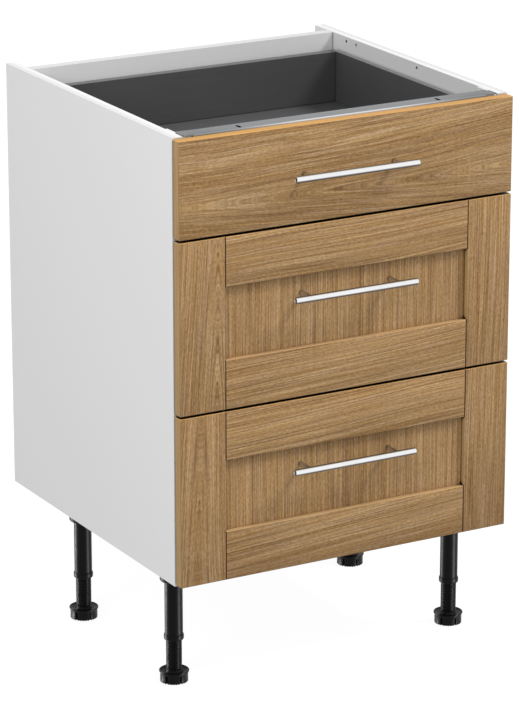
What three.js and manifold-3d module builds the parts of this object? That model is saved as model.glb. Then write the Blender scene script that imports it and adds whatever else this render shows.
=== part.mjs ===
// Kitchen base cabinet with three drawers: a white board carcass on four
// adjustable legs, oak fronts, steel drawer sides on full-extension runners.
//
// Units are millimetres, +Z is up, the drawers open towards -Y and +X is to the
// right when facing the cabinet.  The origin is on the floor, at the middle of
// the overall width and depth.

import * as THREE from 'three';
import { mergeVertices } from 'three/addons/utils/BufferGeometryUtils.js';
import Module from 'manifold-3d';

const wasm = await Module();
wasm.setup();

// ---------------------------------------------------------------- dimensions

const CABINET_W = 600;        // outside width over both side panels
const CARCASS_D = 570;        // depth of the side panels
const CARCASS_H = 720;        // height of the side panels
const BOARD = 18;             // carcass board thickness
const LEG_H = 195;            // floor to the underside of the carcass
const TOP_Z = LEG_H + CARCASS_H;
const INNER_X = CABINET_W / 2 - BOARD;   // inner face of a side panel

const FIT = 0.3;              // gap between pieces that meet

const BACK_RAIL_FRONT = 510;  // front face of the back rail, from the carcass front
const BACK_RAIL_H = 100;
const BACK_PANEL_T = 8;
const GROOVE = 6;             // depth of the grooves that hold the back panel

const PILOT_R = 2.5;          // pilot holes in the side panels
const PILOT_DEPTH = 11;
const PILOT_DROP = 8;         // below the top edge
const PILOT_Y = [242, 434, 466];

const RAIL_T = 1.5;           // steel front rail
const RAIL_D = 30;
const RAIL_FLANGE = 16;
const RAIL_SLOT_X = 178;
const RAIL_SLOT_W = 4.5;
const BRACKET_H = 25;         // the drawer side runs 2 mm below the bracket

const LEG_X = 258;            // leg axes
const LEG_FRONT_Y = 83;
const LEG_BACK_Y = 401;
const TUBE_R = 14.6;
const BORE_R = 13.2;
const SOCKET_R = 22;
const SOCKET_H = 24;
const COLLAR_Z = 71.5;        // lower end of the sleeve
const STEM_R = 12.85;
const STEM_TOP = 132;
const FOOT_RIM_R = 24.1;
const FOOT_R = 22.5;
const FOOT_H = 18.7;
const FOOT_NOTCHES = 6;       // slots up the foot's skirt

const FRONT_W = 597;
const FRONT_T = 18;
const FRONT_GAP = 3;          // between one front and the next
const FRONT_STAND_OFF = 1;    // carcass to the back of the fronts
const FRONT_BOTTOM = LEG_H + 2.5;
const DEEP_FRONT_H = 277;
const TOP_FRONT_H = 155;
const STILE_W = 70 + 10;
const PANEL_RECESS = 9;
const PANEL_T = 6;
const TONGUE = 9.5;

const BAR_L = 220;            // handle bars
const BAR_R = 5.5;
const POST_R = 4;
const POST_X = 80;
const BAR_STAND_OFF = 26;     // face of the fronts to the bar's axis
const DEEP_HANDLE_DROP = 111; // top edge of a deep front to its handle

const WALL_T = 8;             // double-skin drawer side
const SKIN = 1.2;
const WALL_GAP = 3;           // drawer side to side panel
const BOX_BACK_Y = 480;       // front face of the drawer back
const BOX_BACK_T = 16;
const BOX_BASE_T = 16;
const SHALLOW_INNER_H = 86;
const DEEP_INNER_H = 190;

const RUNNER_Y0 = 3;
const RUNNER_L = 490;
const MIDDLE_Y0 = 8;
const MIDDLE_L = 470;

// How far the outermost piece stands in front of the carcass.
const PROUD = FRONT_STAND_OFF + FRONT_T + BAR_STAND_OFF + BAR_R;
const FACE_Y = -(FRONT_STAND_OFF + FRONT_T);

// ----------------------------------------------------------------- materials

const std = (color, roughness, metalness) =>
  new THREE.MeshStandardMaterial({ color, roughness, metalness });

const whiteBoard = () => std(0xededec, 0.55, 0);
const whitePlastic = () => std(0xf7f7f5, 0.35, 0);
const railSteel = () => std(0x8d9296, 0.42, 0.8);
const blackPlastic = () => std(0x141516, 0.45, 0);
const oak = () => std(0xa8865c, 0.6, 0);
const drawerSteel = () => std(0x46474a, 0.5, 0.2);
const drawerBoard = () => std(0x4b4c4f, 0.6, 0);
const satinMetal = () => std(0xd6d4d0, 0.32, 0.9);
const zinc = () => std(0xb4b8bb, 0.35, 0.9);

// ------------------------------------------------------------------- helpers

const cabinet = new THREE.Group();
// Everything below is laid out from the carcass's front plane (y = 0); the
// group centres the whole depth, handles included, on the origin.
cabinet.position.set(0, -(CARCASS_D - PROUD) / 2, 0);

function add(name, geometry, material, x, y, z, parent = cabinet) {
  const mesh = new THREE.Mesh(geometry, material);
  mesh.name = name;
  mesh.position.set(x, y, z);
  parent.add(mesh);
  return mesh;
}

// A box given by its lowest and highest corners.
function block(name, lo, hi, material, parent = cabinet) {
  const g = new THREE.BoxGeometry(hi[0] - lo[0], hi[1] - lo[1], hi[2] - lo[2]);
  return add(name, g, material,
    (lo[0] + hi[0]) / 2, (lo[1] + hi[1]) / 2, (lo[2] + hi[2]) / 2, parent);
}

function boxAt(lo, hi) {
  const g = new THREE.BoxGeometry(hi[0] - lo[0], hi[1] - lo[1], hi[2] - lo[2]);
  g.translate((lo[0] + hi[0]) / 2, (lo[1] + hi[1]) / 2, (lo[2] + hi[2]) / 2);
  return g;
}

function toSolid(geometry) {
  const g = geometry.clone();
  g.deleteAttribute('normal');
  g.deleteAttribute('uv');
  const m = mergeVertices(g, 1e-4);
  return new wasm.Manifold(new wasm.Mesh({
    numProp: 3,
    vertProperties: new Float32Array(m.attributes.position.array),
    triVerts: new Uint32Array(m.index.array),
  }));
}

function toGeometry(solid) {
  const mesh = solid.getMesh();
  const n = mesh.vertProperties.length / mesh.numProp;
  const pos = new Float32Array(n * 3);
  for (let i = 0; i < n; i++) {
    for (let k = 0; k < 3; k++) pos[3 * i + k] = mesh.vertProperties[i * mesh.numProp + k];
  }
  const g = new THREE.BufferGeometry();
  g.setAttribute('position', new THREE.BufferAttribute(pos, 3));
  g.setIndex(new THREE.BufferAttribute(new Uint32Array(mesh.triVerts), 1));
  g.computeVertexNormals();
  return g;
}

function cut(geometry, tools) {
  let s = toSolid(geometry);
  for (const t of tools) s = s.subtract(toSolid(t));
  return toGeometry(s);
}

function join(geometries) {
  let s = toSolid(geometries[0]);
  for (const g of geometries.slice(1)) s = s.add(toSolid(g));
  return toGeometry(s);
}

// A cylinder along X, Y or Z, centred on a point.
function rod(axis, r, length, x, y, z, segments = 24) {
  const g = new THREE.CylinderGeometry(r, r, length, segments);
  if (axis === 'x') g.rotateZ(Math.PI / 2);
  if (axis === 'z') g.rotateX(Math.PI / 2);
  g.translate(x, y, z);
  return g;
}

// A section drawn in X and Z, run along Y from y0 to y0 + length.
function section(points, y0, length) {
  const shape = new THREE.Shape(points.map(([x, z]) => new THREE.Vector2(x, z)));
  const g = new THREE.ExtrudeGeometry(shape, { depth: length, bevelEnabled: false });
  g.rotateX(Math.PI / 2);          // shape's y becomes z, the run goes to -y
  g.translate(0, y0 + length, 0);
  return g;
}

// A plan outline in X and Y, raised from z0 to z1.
function plate(points, z0, z1) {
  const shape = new THREE.Shape(points.map(([x, y]) => new THREE.Vector2(x, y)));
  const g = new THREE.ExtrudeGeometry(shape, { depth: z1 - z0, bevelEnabled: false });
  g.translate(0, 0, z0);
  return g;
}

// A turned shape about Z from [radius, z] points that start and end on the axis.
function turned(points, segments = 24) {
  const g = new THREE.LatheGeometry(points.map(([r, z]) => new THREE.Vector2(r, z)), segments);
  g.rotateX(Math.PI / 2);          // the lathe's y axis becomes z
  return toGeometry(toSolid(g));
}

const mirrored = (points) => points.map(([x, z]) => [-x, z]);

// ------------------------------------------------------------------- carcass

for (const side of [-1, 1]) {
  const name = side < 0 ? 'left_side_panel' : 'right_side_panel';
  const inner = side * INNER_X;
  const outer = side * CABINET_W / 2;
  const lo = [Math.min(inner, outer), 0, LEG_H];
  const hi = [Math.max(inner, outer), CARCASS_D, TOP_Z];
  const tools = [];
  for (const y of PILOT_Y) {
    tools.push(rod('x', PILOT_R, 2 * PILOT_DEPTH, inner, y, TOP_Z - PILOT_DROP, 12));
  }
  // groove for the back panel, from the base panel up into the back rail's height
  const midY = BACK_RAIL_FRONT + BOARD / 2;
  tools.push(boxAt(
    [inner - GROOVE, midY - BACK_PANEL_T / 2 - FIT, LEG_H + BOARD - GROOVE],
    [inner + GROOVE, midY + BACK_PANEL_T / 2 + FIT, TOP_Z - BACK_RAIL_H + GROOVE]));
  add(name, cut(boxAt(lo, hi), tools), whiteBoard(), 0, 0, 0);
}

{
  const x = INNER_X - FIT;
  const midY = BACK_RAIL_FRONT + BOARD / 2;
  const rearY = BACK_RAIL_FRONT + BOARD;
  const grooveY = [midY - BACK_PANEL_T / 2 - FIT, midY + BACK_PANEL_T / 2 + FIT];

  add('base_panel', cut(
    boxAt([-x, 0, LEG_H], [x, rearY, LEG_H + BOARD]),
    [boxAt([-x - 1, grooveY[0], LEG_H + BOARD - GROOVE], [x + 1, grooveY[1], LEG_H + BOARD + 5])],
  ), whiteBoard(), 0, 0, 0);

  add('back_rail', cut(
    boxAt([-x, BACK_RAIL_FRONT, TOP_Z - BACK_RAIL_H], [x, rearY, TOP_Z]),
    [boxAt([-x - 1, grooveY[0], TOP_Z - BACK_RAIL_H - 5], [x + 1, grooveY[1], TOP_Z - BACK_RAIL_H + GROOVE])],
  ), whiteBoard(), 0, 0, 0);

  const px = INNER_X + GROOVE - FIT;
  block('back_panel',
    [-px, midY - BACK_PANEL_T / 2, LEG_H + BOARD - GROOVE + FIT],
    [px, midY + BACK_PANEL_T / 2, TOP_Z - BACK_RAIL_H + GROOVE - FIT],
    whiteBoard());
}

// Front rail: a steel plate with both long edges folded down.  Its ends step in
// behind the brackets, and its front corners are relieved.
{
  const xEnd = INNER_X - 1;
  const xStep = INNER_X - 4.4;
  const y0 = 0.5;
  const y1 = y0 + RAIL_D;
  const yStep = 24.4;
  const r = 4;
  const half = [
    [xEnd - 3, y0], [xEnd - 3, y0 + 4], [xEnd, y0 + 4], [xEnd, yStep], [xStep, yStep],
    [xStep, y1 - r], [xStep - r * 0.3, y1 - r * 0.3], [xStep - r, y1],
  ];
  const outline = [...half, ...mirrored(half).reverse()];
  const top = plate(outline, TOP_Z - RAIL_T, TOP_Z);
  const flangeX = xEnd - 18;
  const flanges = [
    boxAt([-flangeX, y0, TOP_Z - RAIL_FLANGE], [flangeX, y0 + RAIL_T, TOP_Z - RAIL_T / 2]),
    boxAt([-flangeX, y1 - RAIL_T, TOP_Z - RAIL_FLANGE], [flangeX, y1, TOP_Z - RAIL_T / 2]),
  ];
  const slots = [-1, 1].map((s) => boxAt(
    [s * RAIL_SLOT_X - RAIL_SLOT_W / 2, 5, TOP_Z - 5],
    [s * RAIL_SLOT_X + RAIL_SLOT_W / 2, 20, TOP_Z + 5]));
  add('front_rail', cut(join([top, ...flanges]), slots), railSteel(), 0, 0, 0);
}

// Plastic brackets: a plate on the side panel and a ledge inside the rail's ends.
for (const side of [-1, 1]) {
  const name = side < 0 ? 'rail_bracket_left' : 'rail_bracket_right';
  const span = (a, b) => [Math.min(side * a, side * b), Math.max(side * a, side * b)];
  const wall = span(INNER_X - 4, INNER_X - FIT);
  const ledge = span(INNER_X - 18, INNER_X - FIT);
  add(name, join([
    boxAt([wall[0], 25, TOP_Z - BRACKET_H], [wall[1], 54, TOP_Z]),
    boxAt([ledge[0], 2.5, TOP_Z - 14], [ledge[1], 28.4, TOP_Z - RAIL_T - FIT]),
    boxAt([wall[0], 2.5, TOP_Z - BRACKET_H], [wall[1], 28.4, TOP_Z - RAIL_T - FIT]),
  ]), whitePlastic(), 0, 0, 0);
}

// ---------------------------------------------------------------------- legs

const legs = [
  ['front_left', -LEG_X, LEG_FRONT_Y], ['front_right', LEG_X, LEG_FRONT_Y],
  ['rear_left', -LEG_X, LEG_BACK_Y], ['rear_right', LEG_X, LEG_BACK_Y],
];

for (const [place, x, y] of legs) {
  const socketTop = LEG_H - FIT;
  const socketBottom = LEG_H - SOCKET_H;
  add(`leg_sleeve_${place}`, turned([
    [0, socketTop - 4], [BORE_R, socketTop - 4], [BORE_R, COLLAR_Z],
    [TUBE_R + 0.6, COLLAR_Z], [TUBE_R + 1.5, COLLAR_Z + 2], [TUBE_R + 1.5, COLLAR_Z + 8],
    [TUBE_R, COLLAR_Z + 9.5], [TUBE_R, socketBottom], [SOCKET_R - 3, socketBottom],
    [SOCKET_R, socketBottom + 3], [SOCKET_R, socketTop], [0, socketTop],
  ]), blackPlastic(), x, y, 0);

  // The foot's skirt is cut into six castellations and is hollow underneath.
  const body = turned([
    [0, 6], [8, 6], [8, 0], [FOOT_R, 0], [FOOT_R, FOOT_H - 2.5], [FOOT_RIM_R, FOOT_H - 2.2],
    [FOOT_RIM_R, FOOT_H - 0.4], [FOOT_RIM_R - 1.2, FOOT_H], [STEM_R, FOOT_H], [STEM_R, STEM_TOP - 1.5],
    [STEM_R - 1.5, STEM_TOP], [0, STEM_TOP],
  ]);
  const notches = [];
  for (let i = 0; i < FOOT_NOTCHES; i++) {
    const n = new THREE.BoxGeometry(4.4, 6, FOOT_H - 2);
    n.translate(0, FOOT_R, (FOOT_H - 2) / 2 - 3);
    n.rotateZ(i * 2 * Math.PI / FOOT_NOTCHES);
    notches.push(n);
  }
  add(`leg_foot_${place}`, cut(body, notches), blackPlastic(), x, y, 0);
}

// ------------------------------------------------------------------- drawers

const WALL_X = INNER_X - WALL_GAP;        // outer face of a drawer side
const BASE_X = WALL_X - WALL_T - FIT;

// Folded drawer side for the right-hand side, about the side panel's inner face
// and the runner's underside.  Inner and outer skins, a flange under the base
// board and a rib that rides in the middle runner.
function wallSection(h) {
  const o = -WALL_GAP;
  const i = -(WALL_GAP + WALL_T);
  return [
    [-14, 8], [-12, 8], [-12, 25], [i + SKIN, 25], [i + SKIN, h - SKIN], [o - SKIN, h - SKIN],
    [o - SKIN, 25], [o, 25], [o, h], [i, h], [i, 27], [-27, 27], [-27, 25], [-14, 25],
  ];
}

const cabinetMemberSection = [
  [-24, 0], [-FIT, 0], [-FIT, 23.5], [-FIT - 1.5, 23.5], [-FIT - 1.5, 1.5],
  [-22.5, 1.5], [-22.5, 9], [-24, 9],
];
const middleMemberSection = [
  [-20, 3.5], [-6, 3.5], [-6, 19.5], [-7.5, 19.5], [-7.5, 5], [-18.5, 5], [-18.5, 19.5], [-20, 19.5],
];

const drawers = [
  { n: 1, bottom: FRONT_BOTTOM + 2 * (DEEP_FRONT_H + FRONT_GAP), h: TOP_FRONT_H, inner: SHALLOW_INNER_H, lift: 1, slab: true },
  { n: 2, bottom: FRONT_BOTTOM + DEEP_FRONT_H + FRONT_GAP, h: DEEP_FRONT_H, inner: DEEP_INNER_H, lift: 1, slab: false },
  // The lowest box stands higher behind its front, to clear the base panel.
  { n: 3, bottom: FRONT_BOTTOM, h: DEEP_FRONT_H, inner: DEEP_INNER_H, lift: 16, slab: false },
];

for (const d of drawers) {
  const runnerZ = d.bottom + d.lift;
  const baseZ = runnerZ + 27.5;
  const floorZ = baseZ + BOX_BASE_T;
  const wallH = floorZ + d.inner - runnerZ;
  const boxFront = -FRONT_STAND_OFF + FIT;

  for (const side of [-1, 1]) {
    const tag = side < 0 ? 'left' : 'right';
    const flip = (p) => (side < 0 ? mirrored(p) : p);
    add(`drawer_${d.n}_side_${tag}`,
      section(flip(wallSection(wallH)), boxFront, BOX_BACK_Y + BOX_BACK_T - boxFront),
      drawerSteel(), side * INNER_X, 0, runnerZ);
    add(`drawer_${d.n}_cabinet_runner_${tag}`,
      section(flip(cabinetMemberSection), RUNNER_Y0, RUNNER_L), zinc(), side * INNER_X, 0, runnerZ);
    add(`drawer_${d.n}_middle_runner_${tag}`,
      section(flip(middleMemberSection), MIDDLE_Y0, MIDDLE_L), zinc(), side * INNER_X, 0, runnerZ);
  }

  block(`drawer_${d.n}_base`, [-BASE_X, boxFront, baseZ],
    [BASE_X, BOX_BACK_Y + BOX_BACK_T, floorZ], drawerBoard());
  block(`drawer_${d.n}_back`, [-BASE_X, BOX_BACK_Y, floorZ + FIT],
    [BASE_X, BOX_BACK_Y + BOX_BACK_T, floorZ + d.inner], drawerBoard());

  // Fronts.
  const w = FRONT_W / 2;
  const top = d.bottom + d.h;
  const backY = -FRONT_STAND_OFF;
  let handleZ = d.bottom + d.h / 2;
  let mountY = FACE_Y;
  if (d.slab) {
    block(`drawer_${d.n}_front`, [-w, FACE_Y, d.bottom], [w, backY, top], oak());
  } else {
    handleZ = top - DEEP_HANDLE_DROP;
    mountY = FACE_Y + PANEL_RECESS;
    const in_ = w - STILE_W;                      // inner edge of the stiles
    const panelY = [FACE_Y + PANEL_RECESS, FACE_Y + PANEL_RECESS + PANEL_T];
    const slot = [panelY[0] - FIT, panelY[1] + FIT];
    const deep = TONGUE + FIT;
    for (const side of [-1, 1]) {
      const tag = side < 0 ? 'left' : 'right';
      const span = (a, b) => [Math.min(side * a, side * b), Math.max(side * a, side * b)];
      const stile = span(in_ + FIT / 2, w);
      const groove = span(in_ - 1, in_ + deep);
      add(`drawer_${d.n}_front_stile_${tag}`, cut(
        boxAt([stile[0], FACE_Y, d.bottom], [stile[1], backY, top]),
        [boxAt([groove[0], slot[0], d.bottom - 1], [groove[1], slot[1], top + 1])],
      ), oak(), 0, 0, 0);
    }
    for (const end of ['top', 'bottom']) {
      const z = end === 'top' ? [top - STILE_W, top] : [d.bottom, d.bottom + STILE_W];
      const groove = end === 'top' ? [z[0] - 1, z[0] + deep] : [z[1] - deep, z[1] + 1];
      add(`drawer_${d.n}_front_rail_${end}`, cut(
        join([
          boxAt([-in_ + FIT / 2, FACE_Y, z[0]], [in_ - FIT / 2, backY, z[1]]),
          boxAt([-in_ - TONGUE + FIT, panelY[0], z[0]], [in_ + TONGUE - FIT, panelY[1], z[1]]),
        ]),
        [boxAt([-w, slot[0], groove[0]], [w, slot[1], groove[1]])],
      ), oak(), 0, 0, 0);
    }
    block(`drawer_${d.n}_front_panel`,
      [-in_ - TONGUE, panelY[0], d.bottom + STILE_W - TONGUE],
      [in_ + TONGUE, panelY[1], top - STILE_W + TONGUE], oak());
  }

  // Handle: a bar on two posts.  The posts reach the bar's underside inside a
  // shallow saddle, so bar and posts are separate turned pieces.
  const barY = FACE_Y - BAR_STAND_OFF;
  add(`drawer_${d.n}_handle_bar`, rod('x', BAR_R, BAR_L, 0, 0, 0, 24), satinMetal(), 0, barY, handleZ);
  for (const side of [-1, 1]) {
    const tag = side < 0 ? 'left' : 'right';
    const far = mountY - FIT;
    const length = far - barY;
    const post = rod('y', POST_R, length, 0, length / 2, 0, 16);
    add(`drawer_${d.n}_handle_post_${tag}`,
      cut(post, [rod('x', BAR_R + FIT, 40, 0, 0, 0, 24)]),
      satinMetal(), side * POST_X, barY, handleZ);
  }
}

export default cabinet;
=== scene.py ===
"""Looks of a kitchen base cabinet with three drawers: white board carcass, oak fronts, satin bar handles,
anthracite steel drawer sides and black adjustable legs.  Everything is in metres in the row frame:
+Z up, the drawers open towards -Y, the floor is z = 0."""

import math

import bmesh
import bpy
from mathutils import Matrix, Vector


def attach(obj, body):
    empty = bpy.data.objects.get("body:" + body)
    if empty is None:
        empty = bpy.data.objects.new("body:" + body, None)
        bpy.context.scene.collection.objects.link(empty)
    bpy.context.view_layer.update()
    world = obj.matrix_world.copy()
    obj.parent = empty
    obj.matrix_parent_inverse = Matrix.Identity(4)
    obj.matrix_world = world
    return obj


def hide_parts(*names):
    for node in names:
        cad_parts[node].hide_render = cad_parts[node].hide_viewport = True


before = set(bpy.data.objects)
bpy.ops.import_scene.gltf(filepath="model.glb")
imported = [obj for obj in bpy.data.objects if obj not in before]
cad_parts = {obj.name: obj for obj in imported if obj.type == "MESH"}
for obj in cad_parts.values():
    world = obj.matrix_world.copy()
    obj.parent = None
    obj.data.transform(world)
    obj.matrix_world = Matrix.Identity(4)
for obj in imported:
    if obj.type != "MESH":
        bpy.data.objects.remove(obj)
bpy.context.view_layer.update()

# ------------------------------------------------------------------ dimensions
# All in millimetres, measured from the carcass front plane (y = 0) and the floor, as the frame is.

DEPTH_SHIFT = -(570 - 50.5) / 2
LEG_H, TOP_Z = 195.0, 915.0
INNER_X = 282.0
FACE_Y, BACK_Y = -19.0, -1.0
BAR_Y = FACE_Y - 26
FIT = 0.3

DRAWERS = [
    dict(n=1, bottom=757.5, h=155.0, inner=86.0, lift=1.0, slab=True),
    dict(n=2, bottom=477.5, h=277.0, inner=190.0, lift=1.0, slab=False),
    dict(n=3, bottom=197.5, h=277.0, inner=190.0, lift=16.0, slab=False),
]
LEGS = {
    "front_left": (-258, 83), "front_right": (258, 83),
    "rear_left": (-258, 401), "rear_right": (258, 401),
}


def P(x, y, z):
    """Millimetres from the carcass front to metres in the row frame."""
    return Vector((x / 1000, (y + DEPTH_SHIFT) / 1000, z / 1000))


# -------------------------------------------------------------------- node kit

class Nodes:
    """A small helper for writing node trees."""

    def __init__(self, name):
        self.mat = bpy.data.materials.new(name)
        self.mat.use_nodes = True
        self.t = self.mat.node_tree
        self.t.nodes.clear()
        self.out = self.add("ShaderNodeOutputMaterial")
        self.bsdf = self.add("ShaderNodeBsdfPrincipled")
        self.link(self.bsdf.outputs[0], self.out.inputs["Surface"])

    def add(self, kind, **props):
        n = self.t.nodes.new(kind)
        for k, v in props.items():
            setattr(n, k, v)
        return n

    def link(self, a, b):
        self.t.links.new(a, b)

    def put(self, socket, value):
        if hasattr(value, "is_linked") or hasattr(value, "links"):
            self.link(value, socket)
        else:
            socket.default_value = value

    def math(self, op, a, b=0.0, c=None, clamp=False):
        n = self.add("ShaderNodeMath", operation=op, use_clamp=clamp)
        self.put(n.inputs[0], a)
        self.put(n.inputs[1], b)
        if c is not None:
            self.put(n.inputs[2], c)
        return n.outputs[0]

    def coords(self):
        tc = self.add("ShaderNodeTexCoord")
        s = self.add("ShaderNodeSeparateXYZ")
        self.link(tc.outputs["Object"], s.inputs[0])
        return s.outputs[0], s.outputs[1], s.outputs[2]

    def vec(self, x, y, z):
        n = self.add("ShaderNodeCombineXYZ")
        for i, v in enumerate((x, y, z)):
            self.put(n.inputs[i], v)
        return n.outputs[0]

    def noise(self, vector, scale, detail=2.0, rough=0.5, distortion=0.0):
        n = self.add("ShaderNodeTexNoise", noise_dimensions="3D")
        self.put(n.inputs["Vector"], vector)
        n.inputs["Scale"].default_value = scale
        n.inputs["Detail"].default_value = detail
        n.inputs["Roughness"].default_value = rough
        n.inputs["Distortion"].default_value = distortion
        return n.outputs[0]

    def ramp(self, fac, stops, interpolation="LINEAR"):
        n = self.add("ShaderNodeValToRGB")
        n.color_ramp.interpolation = interpolation
        els = n.color_ramp.elements
        while len(els) > len(stops):
            els.remove(els[-1])
        while len(els) < len(stops):
            els.new(0.5)
        for e, (pos, col) in zip(els, stops):
            e.position = pos
            e.color = (*col, 1) if len(col) == 3 else col
        self.put(n.inputs[0], fac)
        return n.outputs[0]

    def span(self, value, a, b, lo=0.0, hi=1.0, smooth=False):
        n = self.add("ShaderNodeMapRange", clamp=True)
        if smooth:
            n.interpolation_type = "SMOOTHSTEP"
        self.put(n.inputs[0], value)
        for i, v in enumerate((a, b, lo, hi), 1):
            n.inputs[i].default_value = v
        return n.outputs[0]

    def mix(self, fac, a, b, blend="MIX"):
        n = self.add("ShaderNodeMix", data_type="RGBA", blend_type=blend, clamp_factor=True)
        self.put(n.inputs[0], fac)
        for socket, v in ((n.inputs[6], a), (n.inputs[7], b)):
            if isinstance(v, tuple):
                socket.default_value = (*v, 1) if len(v) == 3 else v
            else:
                self.link(v, socket)
        return n.outputs[2]

    def scale(self, color, value):
        """A colour times a number."""
        n = self.add("ShaderNodeVectorMath", operation="SCALE")
        self.put(n.inputs[0], color)
        self.put(n.inputs["Scale"], value)
        return n.outputs[0]

    def bump(self, height, distance, strength=1.0, normal=None):
        n = self.add("ShaderNodeBump")
        n.inputs["Strength"].default_value = strength
        n.inputs["Distance"].default_value = distance
        self.put(n.inputs["Height"], height)
        if normal is not None:
            self.link(normal, n.inputs["Normal"])
        return n.outputs[0]

    def crevice(self, distance, samples=8):
        """1 on an open face, and less in narrow gaps and inner corners."""
        n = self.add("ShaderNodeAmbientOcclusion", samples=samples)
        n.inputs["Distance"].default_value = distance
        return n.outputs["AO"]

    def normal(self):
        g = self.add("ShaderNodeNewGeometry")
        s = self.add("ShaderNodeSeparateXYZ")
        t = self.add("ShaderNodeVectorTransform", vector_type="NORMAL", convert_from="WORLD", convert_to="OBJECT")
        self.link(g.outputs["True Normal"], t.inputs[0])
        self.link(t.outputs[0], s.inputs[0])
        return s.outputs


# ------------------------------------------------------------------- materials

def oak(name, along, seed, slant=0.0, wave=1.0, bands=1.0, lines=1.0, dash=1.0, strips=False, tone=1.0, edge_along="z", opening=None, heart=None, painted_shade_range=(0.46, 0.74), top_edge_lighting=(1.11, 0.938, 0.622)):
    """Oak, with the grain along x or z of the object.  slant tips the grain lines, wave bends them, bands sets how
    strong the broad growth bands are, lines how strong the fine dark grain is, dash how long its marks are, and strips
    lays the narrow matched leaves of a veneered panel side by side.  Faces across the board's thickness are its
    lighter, warmer edging.  opening is the height range in which a stile borders the panel and not a rail.  heart, if
    given, is the line across the board round which the grain arches, half the width of the arches and their slope.
    The last two arguments set how closed a place must be to take painted shade, and the tint of painted light and shade
    on the edging where it looks up."""
    k = Nodes(name)
    x, y, z = k.coords()
    u, v = (x, z) if along == "x" else (z, x)
    ox, oy = seed * 1.731, seed * 0.917

    # slow bending of the grain, in metres across the board
    bend = k.noise(k.vec(k.math("MULTIPLY_ADD", u, 1.9, ox), k.math("MULTIPLY_ADD", v, 4.0, oy), 0.3 * seed), 1.0, 1.0, 0.4)
    bend2 = k.noise(k.vec(k.math("MULTIPLY_ADD", u, 11.0, oy), k.math("MULTIPLY_ADD", v, 24.0, ox), 1.7 + seed), 1.0, 1.0, 0.5)
    if heart:
        off = k.math("MULTIPLY_ADD", bend, 0.030, k.math("SUBTRACT", v, heart[0] + 0.015))
        arch = k.math("SQRT", k.math("MULTIPLY_ADD", off, off, heart[1] ** 2))
        across = k.math("MULTIPLY_ADD", u, heart[2], arch)
        across = k.math("MULTIPLY_ADD", bend, 0.020 * wave, across)
    else:
        across = k.math("MULTIPLY_ADD", bend, 0.050 * wave, v)
    across = k.math("MULTIPLY_ADD", bend2, 0.0026 * wave, across)
    across = k.math("MULTIPLY_ADD", u, -slant, across)
    # rings lie closer together here and wider apart there
    crowd = k.noise(k.vec(k.math("MULTIPLY_ADD", u, 1.4, oy), k.math("MULTIPLY_ADD", across, 42.0, ox), 5.1), 1.0, 1.0, 0.5)

    def streak(length, width, offset, detail=1.0, rough=0.5):
        """Noise drawn out along the grain: marks about length by width metres."""
        a = k.math("MULTIPLY_ADD", u, 1 / length, ox * 3 + offset)
        b = k.math("MULTIPLY_ADD", across, 1 / width, oy * 5 + offset * 2.3)
        c = k.math("MULTIPLY_ADD", y, 0.3 / width, offset)
        return k.noise(k.vec(a, b, c), 1.0, detail, rough)

    def ladder(spacing, offset):
        """Counts the rings across the board: the number of the ring, and the place within it from 0 to 1."""
        phase = k.math("MULTIPLY_ADD", crowd, 0.011 / spacing, k.math("MULTIPLY_ADD", across, 1 / spacing, oy + offset))
        return k.math("FLOOR", phase), k.math("FRACT", phase)

    def run(index, length, offset, detail=0.0):
        """Noise along one ring that has nothing to do with the ring beside it."""
        a = k.math("MULTIPLY_ADD", u, 1 / length, ox * 2 + offset)
        return k.noise(k.vec(a, k.math("MULTIPLY_ADD", index, 3.71, offset * 1.3), k.math("MULTIPLY", y, 60.0)), 1.0, detail, 0.5)

    def line(place, half):
        return k.span(k.math("ABSOLUTE", k.math("SUBTRACT", place, 0.5)), 0.0, half, 1.0, 0.0)

    broad = streak(0.80, 0.030, 1.0, 1.0, 0.5)
    middle = streak(0.60, 0.0085, 4.0, 1.0, 0.5)
    grit = streak(0.0055, 0.0014, 15.0, 1.0, 0.5)
    i1, f1 = ladder(0.0044, 3.0)
    i2, f2 = ladder(0.0021, 8.0)
    fibre1 = run(i1, 0.22 * dash, 11.0)
    fibre2 = run(i2, 0.11 * dash, 17.0)

    mixv = k.math("MULTIPLY", k.math("SUBTRACT", broad, 0.5), 0.30 * bands)
    mixv = k.math("MULTIPLY_ADD", k.math("SUBTRACT", middle, 0.5), 0.16 * bands, mixv)
    mixv = k.math("MULTIPLY_ADD", k.math("SUBTRACT", fibre1, 0.5), 0.40 * lines, mixv)
    mixv = k.math("MULTIPLY_ADD", k.math("SUBTRACT", fibre2, 0.5), 0.72 * lines, mixv)
    mixv = k.math("MULTIPLY_ADD", k.math("SUBTRACT", grit, 0.5), 0.84, mixv)
    if strips:
        vor = k.add("ShaderNodeTexVoronoi", voronoi_dimensions="1D", feature="F1")
        k.put(vor.inputs["W"], k.math("MULTIPLY_ADD", v, 120.0, oy * 7))
        leaf = k.add("ShaderNodeSeparateColor")
        k.link(vor.outputs["Color"], leaf.inputs[0])
        mixv = k.math("MULTIPLY_ADD", k.math("SUBTRACT", leaf.outputs[0], 0.5), 0.10, mixv)
    mixv = k.math("ADD", mixv, 0.60)

    face = k.ramp(mixv, [
        (0.00, (0.140, 0.069, 0.024)),
        (0.25, (0.240, 0.134, 0.052)),
        (0.50, (0.330, 0.195, 0.083)),
        (0.75, (0.420, 0.263, 0.123)),
        (1.00, (0.540, 0.370, 0.200)),
    ])

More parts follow.
